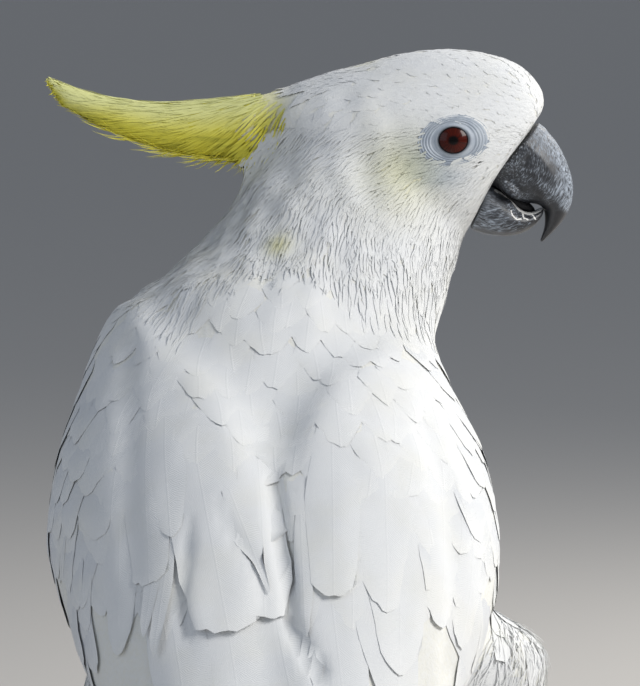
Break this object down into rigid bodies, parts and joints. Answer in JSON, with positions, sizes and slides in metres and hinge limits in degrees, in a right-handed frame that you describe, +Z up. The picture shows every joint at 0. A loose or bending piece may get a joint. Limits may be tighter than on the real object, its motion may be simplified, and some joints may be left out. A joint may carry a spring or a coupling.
{
  "type": "sulphur-crested cockatoo",
  "caption": "White cockatoo standing still on the floor, its head turned to look past its right wing, yellow crest folded back and tail resting on the ground.",
  "frame": {"origin": "on the floor, centred under the bird's bounding box", "axes": "+Z up, +Y the way the breast faces, +X towards the bird's right wing, which is also where it looks"},
  "size_m": [0.1838, 0.3548, 0.315],
  "materials": {
    "white_plumage": "soft matte white contour feathers with a faint yellow tinge on the cheek",
    "yellow_plumage": "matte lemon-yellow crest feathers",
    "bill_horn": "dark grey horn under fine pale powder and scratches",
    "cere_skin": "dark matte skin",
    "eye_ring_skin": "bare wrinkled pale blue-white skin",
    "eye": "wet red-brown iris round a black pupil",
    "leg_skin": "dark grey scaled skin",
    "claw_horn": "smooth near-black horn"
  },
  "bodies": {
    "root": {"head": "white_plumage", "neck": "white_plumage", "trunk": "white_plumage", "tail": "white_plumage", "wing_left": "white_plumage", "wing_right": "white_plumage", "thigh_left": "white_plumage", "thigh_right": "white_plumage", "crest": "yellow_plumage", "bill_upper": "bill_horn", "bill_lower": "bill_horn", "cere": "cere_skin", "eye_left": "eye", "eye_right": "eye", "eye_ring_left": "eye_ring_skin", "eye_ring_right": "eye_ring_skin", "shank_left": "leg_skin", "shank_right": "leg_skin", "foot_left": "leg_skin", "foot_right": "leg_skin", "claw_left_inner_front": "claw_horn", "claw_left_outer_front": "claw_horn", "claw_left_outer_hind": "claw_horn", "claw_left_inner_hind": "claw_horn", "claw_right_inner_front": "claw_horn", "claw_right_outer_front": "claw_horn", "claw_right_outer_hind": "claw_horn", "claw_right_inner_hind": "claw_horn"}
  },
  "joints": []
}
